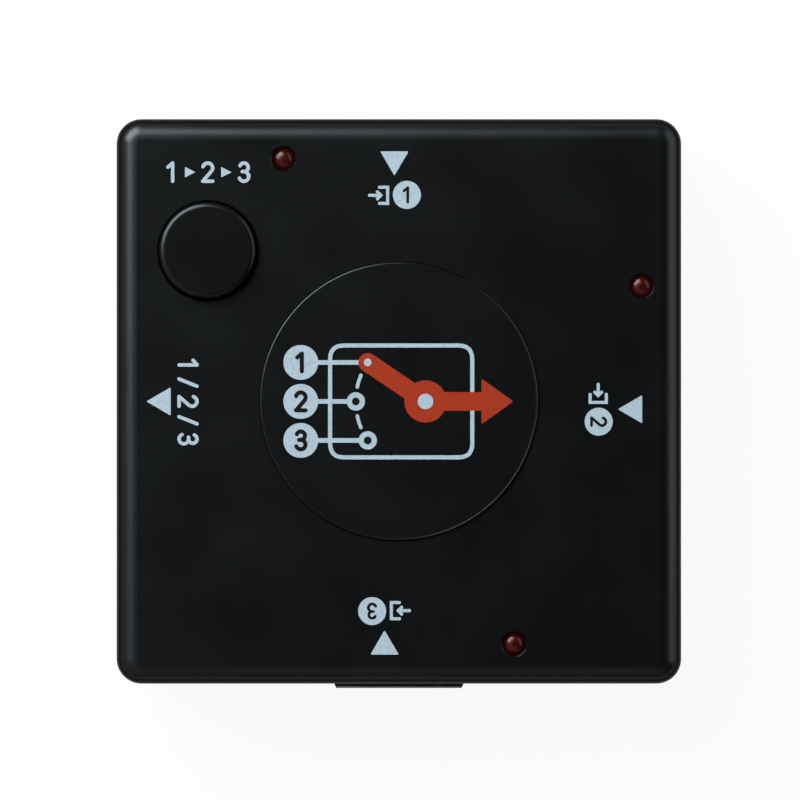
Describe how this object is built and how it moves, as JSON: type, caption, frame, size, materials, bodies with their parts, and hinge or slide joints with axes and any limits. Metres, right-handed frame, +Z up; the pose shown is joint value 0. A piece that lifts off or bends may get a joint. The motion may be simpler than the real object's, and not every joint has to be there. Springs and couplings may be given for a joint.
{
  "type": "hdmi switch box",
  "caption": "Small square black video switch with a socket in the middle of each side, a round push button, a raised round plateau and small red lights.",
  "frame": {"origin": "middle of the flat underside", "axes": "+Z up out of the top, +Y towards the side of input 1, +X towards the side of input 2"},
  "size_m": [0.062, 0.0626, 0.0172],
  "materials": {
    "housing_plastic": "near black, very fine moulded texture",
    "button_plastic": "near black, very fine moulded texture",
    "lens_red": "clear deep red resin, unlit",
    "shell_steel": "dull nickel plate on stamped steel",
    "insulator_plastic": "black moulded resin",
    "contact_gold": "thin gold plate",
    "screw_steel": "blackened steel",
    "board_laminate": "green solder mask",
    "chip_resin": "moulded black resin",
    "tinned_steel": "matt tin plate",
    "can_aluminium": "drawn aluminium",
    "capacitor_ceramic": "fired ceramic",
    "ink_pale": "pad printed ink, pale blue white",
    "ink_orange": "pad printed ink, red orange"
  },
  "bodies": {
    "housing": {"top_cover": "housing_plastic", "bottom_cover": "housing_plastic", "case_screws": "screw_steel", "circuit_board": "board_laminate", "switch_base": "chip_resin", "switch_cover": "tinned_steel", "switch_dome": "tinned_steel", "switch_legs": "tinned_steel", "input_1_shell": "shell_steel", "input_1_insulator": "insulator_plastic", "input_1_contacts": "contact_gold", "input_2_shell": "shell_steel", "input_2_insulator": "insulator_plastic", "input_2_contacts": "contact_gold", "input_3_shell": "shell_steel", "input_3_insulator": "insulator_plastic", "input_3_contacts": "contact_gold", "output_shell": "shell_steel", "output_insulator": "insulator_plastic", "output_contacts": "contact_gold", "light_1": "lens_red", "light_1_legs": "tinned_steel", "light_2": "lens_red", "light_2_legs": "tinned_steel", "light_3": "lens_red", "light_3_legs": "tinned_steel", "main_chip": "chip_resin", "main_chip_legs": "tinned_steel", "control_chip": "chip_resin", "control_chip_legs": "tinned_steel", "voltage_regulator": "chip_resin", "regulator_legs": "tinned_steel", "power_diodes": "chip_resin", "diode_tabs": "tinned_steel", "electrolytic_cans": "can_aluminium", "electrolytic_bases": "chip_resin", "electrolytic_feet": "tinned_steel", "timing_crystal": "can_aluminium", "crystal_feet": "tinned_steel", "chip_capacitors": "capacitor_ceramic", "chip_resistors": "chip_resin", "chip_end_caps": "tinned_steel"},
    "button": {"select_button": "button_plastic", "switch_plunger": "button_plastic"}
  },
  "joints": [
    {"name": "button_press", "type": "slide", "parent": "housing", "child": "button", "axis": [0, 0, -1], "range_m": [0, 0.0003], "stiffness_N_per_m": 4000, "springref_m": -0.0001, "deforming": ["switch_dome"]}
  ]
}
